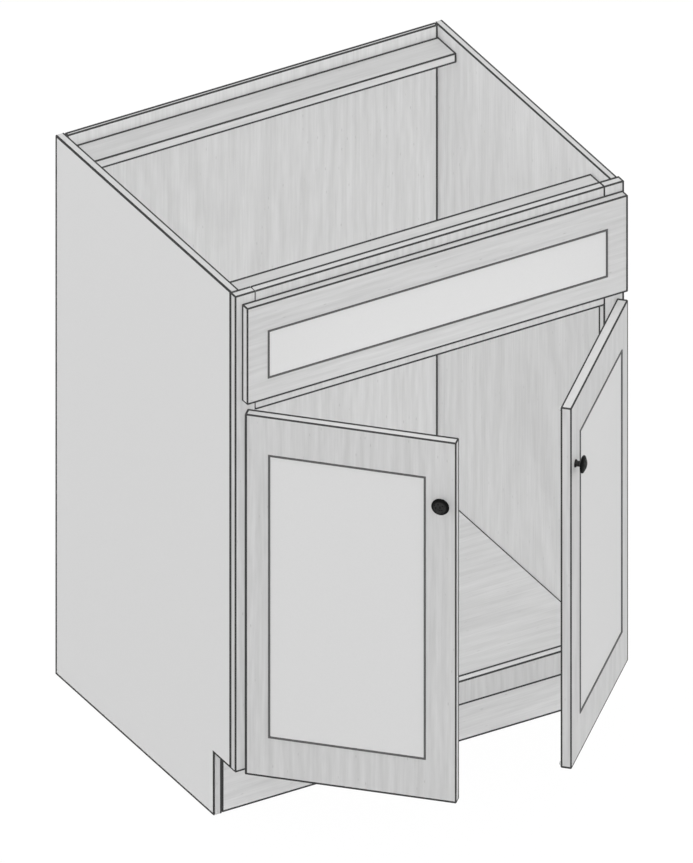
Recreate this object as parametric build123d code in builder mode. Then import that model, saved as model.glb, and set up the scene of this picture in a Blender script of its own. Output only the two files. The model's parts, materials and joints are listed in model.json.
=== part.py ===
from build123d import *
import math
import os

# Sink base cabinet with a face frame, a false drawer front and two overlay doors.
# Millimetres, +Z up, +X to the right, the fronts face -Y.
# The origin is the middle of the body's footprint, on the floor.
# The doors are modelled ajar, as the cabinet is shown.

# ---- Body ----
BODY_WIDTH = 625.5          # across the face frame
BODY_HEIGHT = 876.3
DEPTH_OVER_FRONTS = 520.7   # back to the front of the closed doors
TOE_HEIGHT = 101.6
TOE_DEPTH = 62.0            # from the front of the face frame to the toe board
EDGE_EASE = 1.2             # small chamfer along the edges of every board

SIDE_THICK = 12.0
SKIN_THICK = 3.0            # finished skin on the left side, which also is the frame's overhang
BACK_THICK = 9.0
SHELF_THICK = 16.0          # floor panel and stretchers
DADO_DEPTH = 4.0            # how far the floor panel goes into the sides
STRETCHER_DEPTH = 52.0
STRETCHER_DROP = 19.0       # top of the stretchers below the top of the body
TOE_BOARD_THICK = 12.0
CLEAT_DEPTH = 18.0
CLEAT_HEIGHT = 38.0
GLUE_BLOCK = 22.0
GLUE_BLOCK_HEIGHT = 80.0

# ---- Face frame ----
FRAME_THICK = 16.0
STILE_WIDTH = 33.0
RAIL_HEIGHT = 40.0
DOWEL_RADIUS = 4.0
DOWEL_LENGTH = 36.0
DOWEL_SPACING = 20.0

# ---- Fronts ----
FRONT_THICK = 16.0
LEFT_REVEAL = 10.0          # frame that shows outside the fronts, wider at the finished side
RIGHT_REVEAL = 3.0
DOOR_GAP = 2.4              # between the closed doors
DOOR_STANDOFF = 3.0         # from the closed door's back to the face frame
DOOR_BOTTOM_REVEAL = 1.4
DOOR_TOP_OVERLAY = 7.6      # of the closed doors on the middle rail
FRONTS_GAP = 15.0           # between the doors and the false front
DOOR_HINGE_STILE = 34.0
DOOR_LOCK_STILE = 44.0
DOOR_TOP_RAIL = 61.0
DOOR_BOTTOM_RAIL = 65.0
FALSE_FRONT_TOP_REVEAL = 14.3
FALSE_FRONT_HEIGHT = 157.4
FALSE_FRONT_STILE = 33.0
FALSE_FRONT_TOP_RAIL = 45.0
FALSE_FRONT_BOTTOM_RAIL = 34.0
PANEL_THICK = 6.0           # at the tongue that sits in the grooves
GROOVE_LIP = 5.0            # wood in front of the panel's groove
GROOVE_DEPTH = 4.5          # clear of the hinge cups
PANEL_PLAY = 1.0            # between the panel's edge and the bottom of its groove
FIELD_DROP = 0.5            # the panel's raised field below the face of its frame
QUIRK_WIDTH = 3.0           # narrow channel round the field, beside the frame
REST_OPENING = 45.0         # degrees that the doors stand open

# ---- Knobs ----
KNOB_RADIUS = 13.0
KNOB_PROJECTION = 17.0
KNOB_STEM_RADIUS = 4.2
KNOB_FOOT_RADIUS = 6.0
KNOB_FOOT_HEIGHT = 1.6
KNOB_NECK_END = 8.0
KNOB_RIM_START = 10.5
KNOB_RIM_HEIGHT = 3.0
KNOB_INSET = 20.0           # from the lock edge of the door
KNOB_DROP = 100.0           # from the top of the door
KNOB_THREAD_DEPTH = 8.0

# ---- Hinges ----
PIVOT_INSET = 7.5           # pin to the hinge edge of the door
PIVOT_DEPTH = 10.0          # pin below the back face of the door
HINGE_FROM_END = 90.0       # hinge centre to the end of the door
CUP_RADIUS = 13.0
CUP_EDGE = 3.0              # wood between the cup and the door's edge
CUP_WALL = 1.0
CUP_DEPTH = 13.0
CUP_FLOOR = 0.8
FLANGE_HEIGHT = 46.0
FLANGE_THICK = 0.8
FLANGE_CORNER = 4.0
CUP_SCREW_SPACING = 34.0
PIN_RADIUS = 1.2
PIN_LENGTH = 16.0
PIN_PLAY = 0.05
BARREL_RADIUS = 1.8
LUG_HALF = 2.6              # lugs in the cup that hold the pin, half their width
LUG_PLAY = 0.3              # between the lugs and the arm's barrel
ARM_WIDTH = 10.0
ARM_THICK = 1.2
ARM_DIP = 1.2               # the arm runs this far below the pin inside the cup
ARM_DIP_START = 4.0
ARM_DIP_END = 11.0
ARM_RISE_END = 15.5
BASE_THICK = 1.6
BASE_HEIGHT = 40.0
BASE_MARGIN = 2.0           # base plate behind the front and before the back of the frame
BASE_SCREW_SPACING = 28.0

# ---- Small pieces ----
BUMPER_RADIUS = 3.5
BUMPER_INSET = 5.0
BUMPER_PLAY = 0.2
FIT = 0.05                  # radial clearance of pins and screws in their holes

# ---- Screws: shank radius and length below the head's seat or under the flush head's top ----
BOARD_SCREW_RADIUS = 2.0    # through the sides
BOARD_SCREW_LENGTH = 38.0
BACK_SCREW_RADIUS = 1.75    # through the back
BACK_SCREW_LENGTH = 25.0
BACK_SCREW_INSET = 70.0     # from the sides to the outer screws
FRONT_SCREW_RADIUS = 2.0    # through the face frame, into the false front
FRONT_SCREW_LENGTH = 27.0
HEAD_PLAY = 0.2             # between these heads and the sides
CUP_SCREW_RADIUS = 1.5      # hinge cups
CUP_SCREW_LENGTH = 11.0
BASE_SCREW_RADIUS = 1.6     # hinge arms
BASE_SCREW_LENGTH = 14.0
KNOB_SCREW_RADIUS = 2.0


class Screw:
    """A screw's sizes. Its head's size follows from its shank."""

    HEAD_RATIO = 2.0
    SUNK_HEAD_RATIO = 1.5
    ROUND_HEAD_RATIO = 1.2

    def __init__(self, shank_radius, length, countersunk):
        self.shank_radius = shank_radius
        self.length = length
        self.countersunk = countersunk
        self.head_radius = shank_radius * self.HEAD_RATIO
        self.head_height = shank_radius * (self.SUNK_HEAD_RATIO if countersunk else self.ROUND_HEAD_RATIO)


BOARD_SCREW = Screw(BOARD_SCREW_RADIUS, BOARD_SCREW_LENGTH, countersunk=True)
BACK_SCREW = Screw(BACK_SCREW_RADIUS, BACK_SCREW_LENGTH, countersunk=True)
FRONT_SCREW = Screw(FRONT_SCREW_RADIUS, FRONT_SCREW_LENGTH, countersunk=False)
CUP_SCREW = Screw(CUP_SCREW_RADIUS, CUP_SCREW_LENGTH, countersunk=True)
BASE_SCREW = Screw(BASE_SCREW_RADIUS, BASE_SCREW_LENGTH, countersunk=False)
KNOB_SCREW = Screw(KNOB_SCREW_RADIUS, FRONT_THICK + KNOB_THREAD_DEPTH, countersunk=False)

# ---- Places worked out from the sizes ----
BODY_DEPTH = DEPTH_OVER_FRONTS - FRONT_THICK - DOOR_STANDOFF
LEFT = -BODY_WIDTH / 2
RIGHT = BODY_WIDTH / 2
FRONT = -BODY_DEPTH / 2
BACK = BODY_DEPTH / 2
FRAME_BACK = FRONT + FRAME_THICK
BACK_INNER = BACK - BACK_THICK
TOE_FACE = FRONT + TOE_DEPTH
SIDE_OUTER = BODY_WIDTH / 2 - SKIN_THICK
SIDE_INNER = SIDE_OUTER - SIDE_THICK
FLOOR_TOP = TOE_HEIGHT + SHELF_THICK
STRETCHER_TOP = BODY_HEIGHT - STRETCHER_DROP
STRETCHER_BOTTOM = STRETCHER_TOP - SHELF_THICK
STILE_INNER = BODY_WIDTH / 2 - STILE_WIDTH
FRONTS_LEFT = LEFT + LEFT_REVEAL
FRONTS_RIGHT = RIGHT - RIGHT_REVEAL
DOOR_WIDTH = (FRONTS_RIGHT - FRONTS_LEFT - DOOR_GAP) / 2
FALSE_FRONT_TOP = BODY_HEIGHT - FALSE_FRONT_TOP_REVEAL
FALSE_FRONT_BOTTOM = FALSE_FRONT_TOP - FALSE_FRONT_HEIGHT
DOOR_BOTTOM = TOE_HEIGHT + DOOR_BOTTOM_REVEAL
DOOR_TOP = FALSE_FRONT_BOTTOM - FRONTS_GAP
MIDDLE_RAIL_BOTTOM = DOOR_TOP - DOOR_TOP_OVERLAY
PIVOT_Y = FRONT - DOOR_STANDOFF - PIVOT_DEPTH
DOOR_BACK = PIVOT_DEPTH                     # in a door's own plane, whose origin is the pin
DOOR_FACE = PIVOT_DEPTH - FRONT_THICK
FRAME_FACE = PIVOT_DEPTH + DOOR_STANDOFF    # the frame's front, in the closed door's plane
HINGE_EDGE = -PIVOT_INSET
LOCK_EDGE = DOOR_WIDTH - PIVOT_INSET
CUP_CENTRE = HINGE_EDGE + CUP_EDGE + CUP_RADIUS
HINGE_HEIGHTS = {"lower": DOOR_BOTTOM + HINGE_FROM_END, "upper": DOOR_TOP - HINGE_FROM_END}

os.makedirs("parts", exist_ok=True)


# ---- Helpers ----
def middle(limits):
    """Middle of a (low, high) pair."""
    return (limits[0] + limits[1]) / 2


def span(limits):
    """Length of a (low, high) pair."""
    return limits[1] - limits[0]


def block(x, y, z, plane=Plane.XY, mode=Mode.ADD):
    """A block between limits on the plane's own axes, in the open part."""
    with BuildSketch(plane.offset(z[0])) as outline:
        with Locations((middle(x), middle(y))):
            Rectangle(span(x), span(y))
    extrude(outline.sketch, amount=span(z), mode=mode)


def turned(origin, direction, outline, mode=Mode.ADD):
    """A turned shape: the outline's points are (radius, distance along the axis)."""
    axis = Vector(*direction).normalized()
    across = Vector(0, 0, 1) if abs(axis.Z) < 0.9 else Vector(1, 0, 0)
    with BuildSketch(Plane(origin=origin, x_dir=across, z_dir=across.cross(axis))) as profile:
        with BuildLine():
            Polyline(*outline, close=True)
        make_face()
    revolve(profile.sketch, axis=Axis(origin, axis), mode=mode)


def rod(origin, direction, radius, length, mode=Mode.ADD):
    """A round rod, or a round hole, that starts at the origin."""
    turned(origin, direction, [(0, 0), (radius, 0), (radius, length), (0, length)], mode)


def screw_outline(screw, play=0.0):
    """Half outline of a screw, whose head seats at distance zero."""
    shank = screw.shank_radius + play
    head = screw.head_radius + play
    tip = screw.shank_radius
    end = [(shank, screw.length - tip), (0, screw.length + play)]
    if screw.countersunk:
        return [(0, 0), (head, 0), (shank, screw.head_height + play)] + end
    return [(0, -screw.head_height), (head, -screw.head_height), (head, 0), (shank, 0)] + end


def screws(places, direction, screw):
    """Like screws in the open part, with their heads seated at the places."""
    for place in places:
        turned(place, direction, screw_outline(screw))


def screw_holes(places, direction, screw):
    """Holes in the open part for like screws: a pilot and, where it is sunk, the head's seat."""
    shank = screw.shank_radius + FIT
    end = [(shank, screw.length - screw.shank_radius), (0, screw.length + FIT)]
    for place in places:
        if screw.countersunk:
            turned(place, direction, screw_outline(screw, FIT), Mode.SUBTRACT)
        else:
            turned(place, direction, [(0, 0), (shank, 0)] + end, Mode.SUBTRACT)


def mirrored(side, low, high):
    """Limits that run from the hinge edge inwards, on the left or the right door."""
    return tuple(sorted((side * low, side * high)))


def finish(piece, name):
    """Label a piece and write it."""
    piece.part.label = name
    export_step(piece.part, f"parts/{name}.step")


def board(name, x, y, z):
    """A plain board with eased edges."""
    with BuildPart() as piece:
        block(x, y, z)
        chamfer(piece.edges(), EDGE_EASE)
    finish(piece, name)


# ---- Fixing places ----
def stretcher_screw_places(side):
    """Heads on a side panel's outer face, in pairs on the ends of both stretchers."""
    inset = STRETCHER_DEPTH / 4
    height = middle((STRETCHER_BOTTOM, STRETCHER_TOP))
    rows = [FRAME_BACK + inset, FRAME_BACK + STRETCHER_DEPTH - inset]
    rows += [BACK_INNER - STRETCHER_DEPTH + inset, BACK_INNER - inset]
    return [(side * SIDE_OUTER, y, height) for y in rows]


def floor_screw_places(side):
    """Heads on a side panel's outer face, in a row along the floor panel."""
    height = middle((TOE_HEIGHT, FLOOR_TOP))
    start = TOE_FACE + GLUE_BLOCK
    step = (BACK_INNER - GLUE_BLOCK - start) / 2
    return [(side * SIDE_OUTER, start + step * i, height) for i in range(3)]


def back_screw_places():
    """Heads on the back panel, into the rear stretcher and the rear edge of the floor panel."""
    reach = SIDE_INNER - BACK_SCREW_INSET
    columns = [-reach, 0, reach]
    rows = [middle((STRETCHER_BOTTOM, STRETCHER_TOP)), middle((TOE_HEIGHT, FLOOR_TOP))]
    return [(x, BACK, z) for z in rows for x in columns]


def false_front_screw_places():
    """Heads behind the stiles, clear of the sides, into the stiles of the false front."""
    column = SIDE_INNER - FRONT_SCREW.head_radius - HEAD_PLAY
    opening = (MIDDLE_RAIL_BOTTOM + RAIL_HEIGHT, BODY_HEIGHT - RAIL_HEIGHT)
    rows = [opening[0] + span(opening) / 4, opening[1] - span(opening) / 4]
    return [(side * column, FRAME_BACK, z) for side in (-1, 1) for z in rows]


def dowel_places():
    """Middle of each dowel: two in each joint between a rail and a stile."""
    bottoms = [TOE_HEIGHT, MIDDLE_RAIL_BOTTOM, BODY_HEIGHT - RAIL_HEIGHT]
    heights = [b + RAIL_HEIGHT / 2 + s * DOWEL_SPACING / 2 for b in bottoms for s in (-1, 1)]
    return [(side * STILE_INNER, middle((FRONT, FRAME_BACK)), z) for side in (-1, 1) for z in heights]


def dowel_holes():
    """Holes for every dowel that crosses the open part."""
    length = DOWEL_LENGTH + 2 * FIT
    for x, y, z in dowel_places():
        rod((x - length / 2, y, z), (1, 0, 0), DOWEL_RADIUS + FIT, length, Mode.SUBTRACT)


# ---- Body ----
def side_board(x):
    """A notched board between two limits across the body, with its outline eased."""
    with BuildSketch(Plane.YZ.offset(x[0])) as outline:
        with BuildLine():
            Polyline(
                (TOE_FACE, 0),
                (BACK, 0),
                (BACK, BODY_HEIGHT),
                (FRAME_BACK, BODY_HEIGHT),
                (FRAME_BACK, TOE_HEIGHT),
                (TOE_FACE, TOE_HEIGHT),
                close=True,
            )
        make_face()
    extrude(outline.sketch, amount=span(x))


def side_panel(name, side):
    """A side panel with the groove for the floor panel and the screw holes."""
    with BuildPart() as panel:
        side_board(tuple(sorted((side * SIDE_INNER, side * SIDE_OUTER))))
        chamfer(panel.faces().filter_by(Axis.X).edges(), EDGE_EASE)
        groove = tuple(sorted((side * SIDE_INNER, side * (SIDE_INNER + DADO_DEPTH))))
        block(groove, (FRAME_BACK, BACK_INNER), (TOE_HEIGHT, FLOOR_TOP), mode=Mode.SUBTRACT)
        screw_holes(stretcher_screw_places(side), (-side, 0, 0), BOARD_SCREW)
        screw_holes(floor_screw_places(side), (-side, 0, 0), BOARD_SCREW)
    finish(panel, name)


side_panel("left_side_panel", -1)
side_panel("right_side_panel", 1)

with BuildPart() as finished_skin:
    side_board((LEFT, LEFT + SKIN_THICK))
    chamfer(finished_skin.faces().sort_by(Axis.X)[0].edges(), EDGE_EASE)
finish(finished_skin, "left_finished_skin")

with BuildPart() as back_panel:
    block((-SIDE_INNER, SIDE_INNER), (BACK_INNER, BACK), (0, BODY_HEIGHT))
    chamfer(back_panel.edges(), EDGE_EASE)
    screw_holes(back_screw_places(), (0, -1, 0), BACK_SCREW)
finish(back_panel, "back_panel")

with BuildPart() as floor_panel:
    reach = SIDE_INNER + DADO_DEPTH
    block((-reach, reach), (FRAME_BACK, BACK_INNER), (TOE_HEIGHT, FLOOR_TOP))
    screw_holes(back_screw_places(), (0, -1, 0), BACK_SCREW)
    for hand in (-1, 1):
        screw_holes(floor_screw_places(hand), (-hand, 0, 0), BOARD_SCREW)
finish(floor_panel, "floor_panel")


def stretcher(name, y):
    """A stretcher that lies flat between the sides."""
    with BuildPart() as piece:
        block((-SIDE_INNER, SIDE_INNER), y, (STRETCHER_BOTTOM, STRETCHER_TOP))
        chamfer(piece.edges(), EDGE_EASE)
        screw_holes(back_screw_places(), (0, -1, 0), BACK_SCREW)
        for side in (-1, 1):
            screw_holes(stretcher_screw_places(side), (-side, 0, 0), BOARD_SCREW)
    finish(piece, name)


stretcher("front_stretcher", (FRAME_BACK, FRAME_BACK + STRETCHER_DEPTH))
stretcher("rear_stretcher", (BACK_INNER - STRETCHER_DEPTH, BACK_INNER))

board("toe_board", (-SIDE_INNER, SIDE_INNER), (TOE_FACE, TOE_FACE + TOE_BOARD_THICK), (0, TOE_HEIGHT))
board(
    "rear_floor_cleat",
    (-SIDE_INNER, SIDE_INNER),
    (BACK_INNER - CLEAT_DEPTH, BACK_INNER),
    (TOE_HEIGHT - CLEAT_HEIGHT, TOE_HEIGHT),
)

with BuildPart() as glue_blocks:
    toe_board_back = TOE_FACE + TOE_BOARD_THICK
    for hand in (-1, 1):
        block(
            tuple(sorted((hand * SIDE_INNER, hand * (SIDE_INNER - GLUE_BLOCK)))),
            (toe_board_back, toe_board_back + GLUE_BLOCK),
            (TOE_HEIGHT - GLUE_BLOCK_HEIGHT, TOE_HEIGHT),
        )
    chamfer(glue_blocks.edges(), EDGE_EASE)
finish(glue_blocks, "toe_glue_blocks")


# ---- Face frame ----
def frame_member(name, x, z):
    """A stile or rail of the face frame, with its dowel holes."""
    with BuildPart() as member:
        block(x, (FRONT, FRAME_BACK), z)
        chamfer(member.edges(), EDGE_EASE)
        dowel_holes()
        screw_holes(false_front_screw_places(), (0, -1, 0), FRONT_SCREW)
        for side in (-1, 1):
            for height in HINGE_HEIGHTS.values():
                screw_holes(base_screw_places(side, height), (side, 0, 0), BASE_SCREW)
    finish(member, name)


def base_plate_limits():
    """Depth limits of the hinge's base plate on the inner edge of a stile."""
    return (FRONT + BASE_MARGIN, FRAME_BACK - BASE_MARGIN)


def base_screw_places(side, height):
    """Screw seats on the hinge's base plate; side is -1 at the left stile."""
    face = STILE_INNER - BASE_THICK
    depth = middle(base_plate_limits())
    return [(side * face, depth, height + s * BASE_SCREW_SPACING / 2) for s in (-1, 1)]


frame_member("left_stile", (LEFT, -STILE_INNER), (TOE_HEIGHT, BODY_HEIGHT))
frame_member("right_stile", (STILE_INNER, RIGHT), (TOE_HEIGHT, BODY_HEIGHT))
for rail_name, rail_bottom in (
    ("bottom_rail", TOE_HEIGHT),
    ("middle_rail", MIDDLE_RAIL_BOTTOM),
    ("top_rail", BODY_HEIGHT - RAIL_HEIGHT),
):
    frame_member(rail_name, (-STILE_INNER, STILE_INNER), (rail_bottom, rail_bottom + RAIL_HEIGHT))

with BuildPart() as dowels:
    for dowel_x, dowel_y, dowel_z in dowel_places():
        rod((dowel_x - DOWEL_LENGTH / 2, dowel_y, dowel_z), (1, 0, 0), DOWEL_RADIUS, DOWEL_LENGTH)
finish(dowels, "frame_dowels")

with BuildPart() as stretcher_screws:
    for hand in (-1, 1):
        screws(stretcher_screw_places(hand), (-hand, 0, 0), BOARD_SCREW)
finish(stretcher_screws, "stretcher_screws")

with BuildPart() as floor_screws:
    for hand in (-1, 1):
        screws(floor_screw_places(hand), (-hand, 0, 0), BOARD_SCREW)
finish(floor_screws, "floor_screws")

with BuildPart() as back_screws:
    screws(back_screw_places(), (0, -1, 0), BACK_SCREW)
finish(back_screws, "back_screws")

with BuildPart() as false_front_screws:
    screws(false_front_screw_places(), (0, -1, 0), FRONT_SCREW)
finish(false_front_screws, "false_front_screws")


# ---- Framed fronts: two stiles, two rails and a panel ----
class FramedFront:
    """A framed front's plane, its limits across, front to back and up, and those of its opening."""

    def __init__(self, plane, x, y, z, inner_x, inner_z):
        self.plane = plane
        self.x = x
        self.y = y
        self.z = z
        self.inner_x = inner_x
        self.inner_z = inner_z
        self.groove_y = (y[0] + GROOVE_LIP, y[0] + GROOVE_LIP + PANEL_THICK)


def grown(limits, amount):
    """Limits moved apart by an amount at both ends."""
    return (limits[0] - amount, limits[1] + amount)


def eased_cut(front, x, z):
    """A member cut from an eased blank, so that only the front's outer edges are eased."""
    blank = BuildPart(mode=Mode.PRIVATE)
    with blank:
        block(front.x, front.y, front.z, front.plane)
        chamfer(blank.edges(), EDGE_EASE)
        block(x, front.y, z, front.plane, Mode.INTERSECT)
    return blank.part


def front_stile(front, x):
    """A stile with the groove for the panel and the rails' tongues, in the open part."""
    add(eased_cut(front, x, front.z))
    block(grown(front.inner_x, GROOVE_DEPTH), front.groove_y, front.z, front.plane, Mode.SUBTRACT)


def front_rail(front, z):
    """A rail with a tongue at each end and the groove for the panel, in the open part."""
    add(eased_cut(front, front.inner_x, z))
    block(grown(front.inner_x, GROOVE_DEPTH), front.groove_y, z, front.plane)
    groove = grown(front.inner_z, GROOVE_DEPTH)
    block(grown(front.inner_x, GROOVE_DEPTH), front.groove_y, groove, front.plane, Mode.SUBTRACT)


def front_panel(name, front):
    """The panel, which floats in the grooves; its flat field rises almost level with the frame."""
    tongue = GROOVE_DEPTH - PANEL_PLAY
    field_y = (front.y[0] + FIELD_DROP, front.groove_y[0])
    with BuildPart() as panel:
        block(grown(front.inner_x, tongue), front.groove_y, grown(front.inner_z, tongue), front.plane)
        block(grown(front.inner_x, -QUIRK_WIDTH), field_y, grown(front.inner_z, -QUIRK_WIDTH), front.plane)
    finish(panel, name)


def front_rails(prefix, front):
    """Both rails of a framed front."""
    for name, z in (
        ("top_rail", (front.inner_z[1], front.z[1])),
        ("bottom_rail", (front.z[0], front.inner_z[0])),
    ):
        with BuildPart() as rail:
            front_rail(front, z)
        finish(rail, f"{prefix}_{name}")


# ---- False drawer front ----
false_front = FramedFront(
    Plane.XY,
    (FRONTS_LEFT, FRONTS_RIGHT),
    (FRONT - FRONT_THICK, FRONT),
    (FALSE_FRONT_BOTTOM, FALSE_FRONT_TOP),
    (FRONTS_LEFT + FALSE_FRONT_STILE, FRONTS_RIGHT - FALSE_FRONT_STILE),
    (FALSE_FRONT_BOTTOM + FALSE_FRONT_BOTTOM_RAIL, FALSE_FRONT_TOP - FALSE_FRONT_TOP_RAIL),
)
for stile_name, stile_x in (
    ("left_stile", (FRONTS_LEFT, false_front.inner_x[0])),
    ("right_stile", (false_front.inner_x[1], FRONTS_RIGHT)),
):
    with BuildPart() as stile:
        front_stile(false_front, stile_x)
        screw_holes(false_front_screw_places(), (0, -1, 0), FRONT_SCREW)
    finish(stile, f"false_front_{stile_name}")
front_rails("false_front", false_front)
front_panel("false_front_panel", false_front)


# ---- Hinges ----
def hinge_plane(side, opening):
    """Plane on a door's pin: x across the door, y to its back; side is 1 at the left."""
    edge = FRONTS_LEFT if side > 0 else FRONTS_RIGHT
    turn = math.radians(opening)
    origin = (edge + side * PIVOT_INSET, PIVOT_Y, 0)
    return Plane(origin=origin, x_dir=(math.cos(turn), -side * math.sin(turn), 0), z_dir=(0, 0, 1))


def on_plane(plane, x, y, z):
    """A point given on a plane's own axes."""
    return plane.from_local_coords(Vector(x, y, z))


def cup_screw_places(plane, side, height):
    """Screw seats above and below the cup, on its flange."""
    face = DOOR_BACK + FLANGE_THICK
    offsets = [s * CUP_SCREW_SPACING / 2 for s in (-1, 1)]
    return [on_plane(plane, side * CUP_CENTRE, face, height + offset) for offset in offsets]


def hinge_cup(name, plane, side, height):
    """The cup with its flange, its pin holes and its screw holes."""
    mouth = on_plane(plane, side * CUP_CENTRE, DOOR_BACK, height)
    inwards = -plane.y_dir
    inner = CUP_RADIUS - CUP_WALL
    shell = [
        (inner, 0),
        (CUP_RADIUS, 0),
        (CUP_RADIUS, CUP_DEPTH),
        (0, CUP_DEPTH),
        (0, CUP_DEPTH - CUP_FLOOR),
        (inner, CUP_DEPTH - CUP_FLOOR),
    ]
    with BuildPart() as cup:
        lug_y = (DOOR_BACK - CUP_DEPTH + CUP_FLOOR, DOOR_BACK)
        block((-LUG_HALF, LUG_HALF), lug_y, grown((height, height), CUP_RADIUS), plane)
        gap_z = grown((height, height), ARM_WIDTH / 2 + LUG_PLAY)
        block((-LUG_HALF, LUG_HALF), lug_y, gap_z, plane, Mode.SUBTRACT)
        rod(mouth, inwards, inner + CUP_WALL / 2, CUP_DEPTH, Mode.INTERSECT)
        turned(mouth, inwards, shell)
        with BuildSketch(Plane(origin=mouth, x_dir=plane.x_dir, z_dir=plane.y_dir)) as flange:
            RectangleRounded(2 * CUP_RADIUS, FLANGE_HEIGHT, FLANGE_CORNER)
            Circle(inner, mode=Mode.SUBTRACT)
        extrude(flange.sketch, amount=FLANGE_THICK)
        pin_start = on_plane(plane, 0, 0, height - PIN_LENGTH / 2 - FIT)
        rod(pin_start, (0, 0, 1), PIN_RADIUS + FIT, PIN_LENGTH + 2 * FIT, Mode.SUBTRACT)
        screw_holes(cup_screw_places(plane, side, height), inwards, CUP_SCREW)
    finish(cup, name)


def hinge_arm(name, side, height):
    """The arm: a barrel on the pin, a bent strap out of the cup and a base plate on the stile."""
    closed = hinge_plane(side, 0)
    stile_edge = STILE_INNER - abs(closed.origin.X)
    leg = -stile_edge + ARM_THICK / 2
    run = DOOR_BACK + (DOOR_STANDOFF + FLANGE_THICK) / 2
    base_y = tuple(limit - PIVOT_Y for limit in base_plate_limits())
    path = [
        (0, 0),
        (ARM_DIP_START, -ARM_DIP),
        (ARM_DIP_END, -ARM_DIP),
        (ARM_RISE_END, run),
        (leg, run),
        (leg, base_y[0] + ARM_THICK),
    ]
    with BuildPart() as arm:
        with BuildSketch(closed.offset(height - ARM_WIDTH / 2)) as strap:
            for start, end in zip(path, path[1:]):
                length = math.dist(start, end)
                angle = math.degrees(math.atan2(end[1] - start[1], side * (end[0] - start[0])))
                with Locations((side * (start[0] + end[0]) / 2, (start[1] + end[1]) / 2)):
                    Rectangle(length, ARM_THICK, rotation=angle)
                with Locations((side * end[0], end[1])):
                    Circle(ARM_THICK / 2)
            Circle(BARREL_RADIUS)
            Circle(PIN_RADIUS + PIN_PLAY, mode=Mode.SUBTRACT)
        extrude(strap.sketch, amount=ARM_WIDTH)
        plate_x = mirrored(side, -stile_edge, -stile_edge + BASE_THICK)
        block(plate_x, base_y, grown((height, height), BASE_HEIGHT / 2), closed)
        screw_holes(base_screw_places(-side, height), (-side, 0, 0), BASE_SCREW)
    finish(arm, name)


def hinge_pin(name, plane, height):
    """The pin, held in the walls of the cup."""
    with BuildPart() as pin:
        rod(on_plane(plane, 0, 0, height - PIN_LENGTH / 2), (0, 0, 1), PIN_RADIUS, PIN_LENGTH)
    finish(pin, name)


# ---- Doors ----
def knob_place(plane, side):
    """Foot of the knob on the door's face."""
    return on_plane(plane, side * (LOCK_EDGE - KNOB_INSET), DOOR_FACE, DOOR_TOP - KNOB_DROP)


def knob_screw_place(plane, side):
    """Seat of the knob's screw on the door's back."""
    return on_plane(plane, side * (LOCK_EDGE - KNOB_INSET), DOOR_BACK, DOOR_TOP - KNOB_DROP)


def knob(name, plane, side):
    """A round knob: foot, neck and domed cap, with a blind hole for its screw."""
    foot = knob_place(plane, side)
    outwards = -plane.y_dir
    across = Vector(0, 0, 1)
    rim_end = KNOB_RIM_START + KNOB_RIM_HEIGHT
    rise = KNOB_PROJECTION - rim_end
    dome = (KNOB_RADIUS**2 + rise**2) / (2 * rise)
    half_turn = math.asin(KNOB_RADIUS / dome) / 2
    crown = (dome * math.sin(half_turn), KNOB_PROJECTION - dome * (1 - math.cos(half_turn)))
    with BuildPart() as piece:
        with BuildSketch(Plane(origin=foot, x_dir=across, z_dir=across.cross(outwards))) as profile:
            with BuildLine():
                Polyline(
                    (0, KNOB_PROJECTION),
                    (0, 0),
                    (KNOB_FOOT_RADIUS, 0),
                    (KNOB_FOOT_RADIUS, KNOB_FOOT_HEIGHT),
                    (KNOB_STEM_RADIUS, KNOB_FOOT_HEIGHT * 2),
                    (KNOB_STEM_RADIUS, KNOB_NECK_END),
                    (KNOB_RADIUS, KNOB_RIM_START),
                    (KNOB_RADIUS, rim_end),
                )
                ThreePointArc((KNOB_RADIUS, rim_end), crown, (0, KNOB_PROJECTION))
            make_face()
        revolve(profile.sketch, axis=Axis(foot, outwards))
        screw_holes([knob_screw_place(plane, side)], outwards, KNOB_SCREW)
    finish(piece, name)


def bumper_places(plane, side):
    """Bumpers at the top and bottom of the lock side, on the door's back."""
    column = side * (LOCK_EDGE - BUMPER_INSET)
    heights = (DOOR_BOTTOM + BUMPER_INSET, DOOR_TOP - BUMPER_INSET)
    return [on_plane(plane, column, DOOR_BACK, height) for height in heights]


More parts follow.
